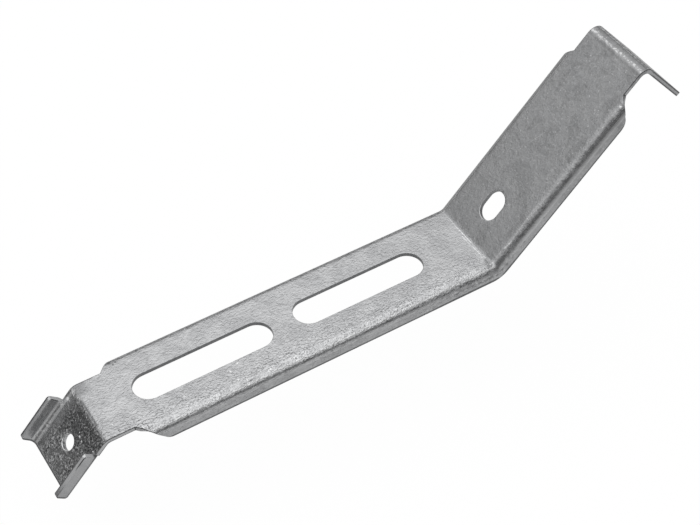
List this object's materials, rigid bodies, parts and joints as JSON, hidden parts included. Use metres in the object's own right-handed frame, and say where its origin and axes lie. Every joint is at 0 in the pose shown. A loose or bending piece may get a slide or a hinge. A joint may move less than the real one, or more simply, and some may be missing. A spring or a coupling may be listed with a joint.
{
  "type": "mudflap bracket",
  "caption": "Folded sheet-steel channel bracket with long adjusting slots, a raised run with a bent end tab, and a small eared hook with a hole.",
  "frame": {"origin": "on the top face of the slotted run, midway between its two long slots", "axes": "+X along the slotted run towards the raised run, +Y to the far side of the channel, +Z out of the slotted face, away from the flanges"},
  "size_m": [0.2791, 0.04, 0.0915],
  "materials": {
    "galvanised_steel": "galvanised, dull, with a fine grain"
  },
  "bodies": {
    "root": {"bracket": "galvanised_steel"}
  },
  "joints": []
}
